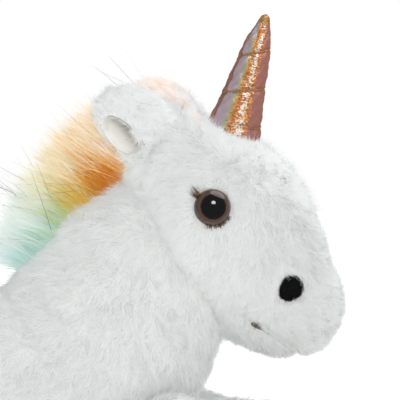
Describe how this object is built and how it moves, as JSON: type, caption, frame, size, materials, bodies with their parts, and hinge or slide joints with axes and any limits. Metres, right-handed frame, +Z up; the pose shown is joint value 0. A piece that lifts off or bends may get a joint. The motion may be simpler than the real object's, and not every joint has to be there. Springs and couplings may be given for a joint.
{
  "type": "plush unicorn",
  "caption": "Soft toy unicorn lying on its belly with head raised, padded horn, upright ears, long-pile mane and tail, and legs that flex at their seams.",
  "frame": {"origin": "on the floor under the middle of the bounding box, on the mirror plane of the animal", "axes": "+X forward, the way the face points; +Y to the animal's left; +Z up"},
  "size_m": [0.3952, 0.1716, 0.238],
  "materials": {
    "white_plush": "matte",
    "fibrefill": "matte",
    "ear_satin": "satin",
    "lame_cloth": "satin",
    "gold_thread": "satin",
    "peach_pile": "matte",
    "orange_pile": "matte",
    "mint_pile": "matte",
    "brown_thread": "matte",
    "black_flock": "matte",
    "eye_plastic": "gloss",
    "washer_plastic": "matte"
  },
  "bodies": {
    "torso": {"torso_right_cover": "white_plush", "torso_left_cover": "white_plush", "belly_cover": "white_plush", "torso_stuffing": "fibrefill", "withers_mane": "mint_pile"},
    "neck": {"neck_right_cover": "white_plush", "neck_left_cover": "white_plush", "neck_stuffing": "fibrefill", "neck_mane": "orange_pile"},
    "head": {"head_right_cover": "white_plush", "head_left_cover": "white_plush", "forehead_gusset": "white_plush", "chin_gusset": "white_plush", "head_stuffing": "fibrefill", "right_eye": "eye_plastic", "left_eye": "eye_plastic", "right_eye_washer": "washer_plastic", "left_eye_washer": "washer_plastic", "right_eyelash": "brown_thread", "left_eyelash": "brown_thread", "right_nostril": "black_flock", "left_nostril": "black_flock", "mouth_stitching": "brown_thread", "forelock": "peach_pile", "poll_mane": "peach_pile"},
    "right_ear": {"right_ear_back": "white_plush", "right_ear_lining": "ear_satin"},
    "left_ear": {"left_ear_back": "white_plush", "left_ear_lining": "ear_satin"},
    "horn": {"horn_cover": "lame_cloth", "horn_stuffing": "fibrefill", "horn_threads": "gold_thread"},
    "tail": {"tail_pile": "mint_pile", "tail_stuffing": "fibrefill"},
    "front_right_leg": {"front_right_leg_cover": "white_plush", "front_right_leg_stuffing": "fibrefill", "front_right_hoof": "lame_cloth", "front_right_sole": "lame_cloth"},
    "front_left_leg": {"front_left_leg_cover": "white_plush", "front_left_leg_stuffing": "fibrefill", "front_left_hoof": "lame_cloth", "front_left_sole": "lame_cloth"},
    "rear_right_leg": {"rear_right_leg_cover": "white_plush", "rear_right_leg_stuffing": "fibrefill", "rear_right_hoof": "lame_cloth", "rear_right_sole": "lame_cloth"},
    "rear_left_leg": {"rear_left_leg_cover": "white_plush", "rear_left_leg_stuffing": "fibrefill", "rear_left_hoof": "lame_cloth", "rear_left_sole": "lame_cloth"}
  },
  "joints": [
    {"name": "neck_turn", "type": "hinge", "parent": "torso", "child": "neck", "pos_m": [0.0935, 0, 0.098], "axis": [0.515, 0, 0.8572], "range_deg": [-25, 25], "stiffness_Nm_per_rad": 3},
    {"name": "head_nod", "type": "hinge", "parent": "neck", "child": "head", "pos_m": [0.157, 0, 0.14], "axis": [0, 1, 0], "range_deg": [-10, 10], "stiffness_Nm_per_rad": 3},
    {"name": "right_ear_flop", "type": "hinge", "parent": "head", "child": "right_ear", "pos_m": [0.1015, -0.023, 0.169], "axis": [0.766, 0, 0.6428], "range_deg": [0, 22], "stiffness_Nm_per_rad": 0.05},
    {"name": "left_ear_flop", "type": "hinge", "parent": "head", "child": "left_ear", "pos_m": [0.1015, 0.023, 0.169], "axis": [-0.766, 0, -0.6428], "range_deg": [0, 22], "stiffness_Nm_per_rad": 0.05},
    {"name": "horn_flex", "type": "hinge", "parent": "head", "child": "horn", "pos_m": [0.14406, 0, 0.17738], "axis": [0, 1, 0], "range_deg": [-10, 10], "stiffness_Nm_per_rad": 0.3},
    {"name": "tail_swing", "type": "hinge", "parent": "torso", "child": "tail", "pos_m": [-0.14, 0, 0.074], "axis": [0, 0, 1], "range_deg": [-14, 14], "stiffness_Nm_per_rad": 0.05},
    {"name": "front_right_leg_splay", "type": "hinge", "parent": "torso", "child": "front_right_leg", "pos_m": [0.115, -0.041, 0.025], "axis": [0, 0, -1], "range_deg": [-4, 30], "stiffness_Nm_per_rad": 0.5},
    {"name": "front_left_leg_splay", "type": "hinge", "parent": "torso", "child": "front_left_leg", "pos_m": [0.115, 0.041, 0.025], "axis": [0, 0, 1], "range_deg": [-4, 30], "stiffness_Nm_per_rad": 0.5},
    {"name": "rear_right_leg_splay", "type": "hinge", "parent": "torso", "child": "rear_right_leg", "pos_m": [-0.097, -0.046, 0.033], "axis": [0, 0, -1], "range_deg": [0, 30], "stiffness_Nm_per_rad": 0.7},
    {"name": "rear_left_leg_splay", "type": "hinge", "parent": "torso", "child": "rear_left_leg", "pos_m": [-0.097, 0.046, 0.033], "axis": [0, 0, 1], "range_deg": [0, 30], "stiffness_Nm_per_rad": 0.7}
  ]
}
